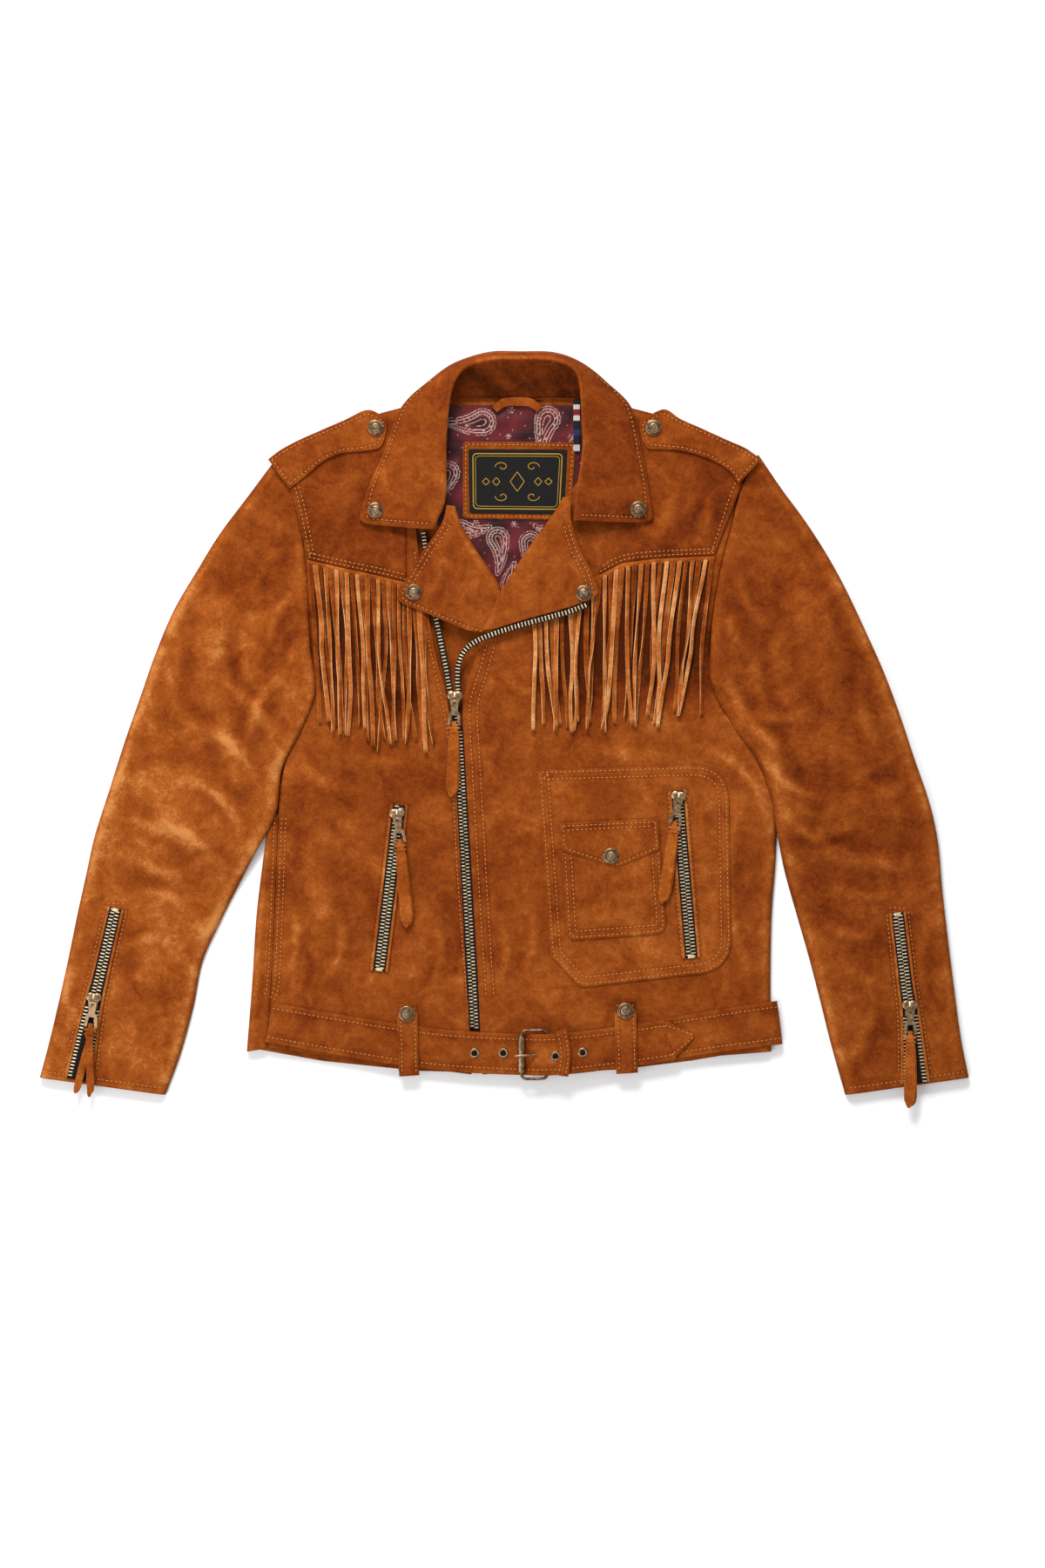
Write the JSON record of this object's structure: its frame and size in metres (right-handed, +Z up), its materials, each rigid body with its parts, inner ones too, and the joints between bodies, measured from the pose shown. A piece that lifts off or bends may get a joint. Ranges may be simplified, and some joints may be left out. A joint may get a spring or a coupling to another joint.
{
  "type": "fringed suede motorcycle jacket",
  "caption": "Short jacket with a slanted front zip, wide lapels, shoulder straps, fringed yokes and a buckled hem belt, laid flat.",
  "frame": {"origin": "centre of the box around the jacket, on the surface that it lies on", "axes": "+X across the jacket to the side that is right as seen from above, +Y from the hem to the collar, +Z up"},
  "size_m": [0.855, 0.6954, 0.0273],
  "materials": {
    "suede": "napped",
    "lining_satin": "satin",
    "antique_brass": "antique, brushed",
    "zip_tape": "woven"
  },
  "bodies": {
    "cloth": {"back_lining": "lining_satin", "back_panel": "suede", "belt_keeper": "suede", "belt_loop_left": "suede", "belt_loop_right": "suede", "belt_right": "suede", "belt_strap": "suede", "buckle_frame": "antique_brass", "buckle_tongue": "antique_brass", "collar": "suede", "epaulette_left": "suede", "epaulette_right": "suede", "fringe_left": "suede", "fringe_right": "suede", "front_left": "suede", "front_right": "suede", "hanger_loop": "suede", "label_patch": "suede", "lapel_left": "suede", "lapel_right": "suede", "pocket_flap": "suede", "pocket_patch": "suede", "pocket_pouch": "suede", "side_panel_left": "suede", "sleeve_left_under": "suede", "sleeve_left_upper": "suede", "sleeve_right_under": "suede", "sleeve_right_upper": "suede", "slider_cuff_left": "antique_brass", "slider_cuff_right": "antique_brass", "slider_main": "antique_brass", "slider_pocket_left": "antique_brass", "slider_pocket_right": "antique_brass", "snap_collar_left": "antique_brass", "snap_collar_right": "antique_brass", "snap_epaulette_left": "antique_brass", "snap_epaulette_right": "antique_brass", "snap_flap": "antique_brass", "snap_lapel_left": "antique_brass", "snap_lapel_right": "antique_brass", "snap_loop_left": "antique_brass", "snap_loop_right": "antique_brass", "yoke_left": "suede", "yoke_right": "suede", "zip_cuff_left": "zip_tape", "zip_cuff_right": "zip_tape", "zip_main": "zip_tape", "zip_pocket_left": "zip_tape", "zip_pocket_right": "zip_tape", "zip_upper_right": "zip_tape"},
    "pull_main": {"pull_main": "antique_brass", "thong_main": "suede"},
    "pull_pocket_left": {"pull_pocket_left": "antique_brass", "thong_pocket_left": "suede"},
    "pull_pocket_right": {"pull_pocket_right": "antique_brass", "thong_pocket_right": "suede"},
    "pull_cuff_left": {"pull_cuff_left": "antique_brass", "thong_cuff_left": "suede"},
    "pull_cuff_right": {"pull_cuff_right": "antique_brass", "thong_cuff_right": "suede"}
  },
  "joints": [
    {"name": "pull_main_swing", "type": "hinge", "parent": "cloth", "child": "pull_main", "pos_m": [-0.0455, 0.026, 0.01375], "axis": [-0.9998, 0.02, 0], "range_deg": [0, 150]},
    {"name": "pull_pocket_left_swing", "type": "hinge", "parent": "cloth", "child": "pull_pocket_left", "pos_m": [-0.098, -0.082, 0.014], "axis": [-0.995, -0.0995, 0], "range_deg": [0, 150]},
    {"name": "pull_pocket_right_swing", "type": "hinge", "parent": "cloth", "child": "pull_pocket_right", "pos_m": [0.1595, -0.066, 0.01595], "axis": [-0.9903, 0.1387, 0], "range_deg": [0, 150]},
    {"name": "pull_cuff_left_swing", "type": "hinge", "parent": "cloth", "child": "pull_cuff_left", "pos_m": [-0.3775, -0.251, 0.0144], "axis": [-0.995, 0.0995, 0], "range_deg": [0, 150]},
    {"name": "pull_cuff_right_swing", "type": "hinge", "parent": "cloth", "child": "pull_cuff_right", "pos_m": [0.3725, -0.258, 0.0144], "axis": [-0.9999, -0.01, 0], "range_deg": [0, 150]}
  ]
}
